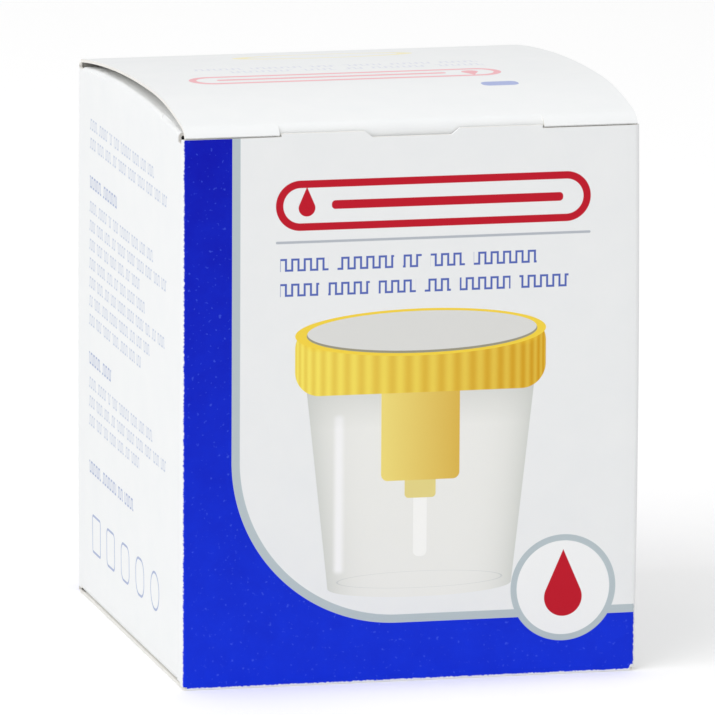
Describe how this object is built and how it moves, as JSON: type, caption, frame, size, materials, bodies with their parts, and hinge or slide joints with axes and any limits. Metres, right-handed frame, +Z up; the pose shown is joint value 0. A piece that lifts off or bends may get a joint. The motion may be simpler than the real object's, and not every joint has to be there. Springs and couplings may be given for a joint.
{
  "type": "folding carton with a specimen container",
  "caption": "Tuck-end folding carton with opening lids, holding a screw-cap specimen cup whose cap has a built-in tube holder.",
  "frame": {"origin": "centre of the carton's footprint, on the surface that it stands on", "axes": "+X to the right across the front panel, +Y from the front panel to the back panel, +Z up"},
  "size_m": [0.074, 0.078, 0.0922],
  "materials": {
    "board": "white coated folding board, printed outside and matt inside",
    "cup_plastic": "translucent polypropylene",
    "cap_plastic": "yellow moulded polyethylene, satin",
    "seal_paper": "smooth peel-off label",
    "tube_plastic": "translucent polypropylene",
    "needle_steel": "drawn stainless steel",
    "sleeve_rubber": "matt rubber"
  },
  "bodies": {
    "carton": {"carton": "board", "cup": "cup_plastic"},
    "lid": {"lid": "board"},
    "bottom_lid": {"bottom_lid": "board"},
    "cap_lift": {"pickup_tube": "tube_plastic", "cannula": "needle_steel", "needle_sleeve": "sleeve_rubber"},
    "cap_turn": {"cap": "cap_plastic", "cap_label": "seal_paper"}
  },
  "joints": [
    {"name": "lid_hinge", "type": "hinge", "parent": "carton", "child": "lid", "pos_m": [0, 0.039, 0.0885], "axis": [-1, 0, 0], "range_deg": [0, 180]},
    {"name": "bottom_lid_hinge", "type": "hinge", "parent": "carton", "child": "bottom_lid", "pos_m": [0, -0.039, 0], "axis": [-1, 0, 0], "range_deg": [0, 180]},
    {"name": "cap_rise", "type": "slide", "parent": "carton", "child": "cap_lift", "axis": [0, 0, 1], "range_m": [0, 0.00501]},
    {"name": "cap_screw", "type": "hinge", "parent": "cap_lift", "child": "cap_turn", "pos_m": [0, 0, 0.07], "axis": [0, 0, 1], "range_deg": [0, 450]}
  ],
  "couplings": [
    {"joint": "cap_rise", "follows": "cap_screw", "m_per_rad": 0.00063662}
  ]
}
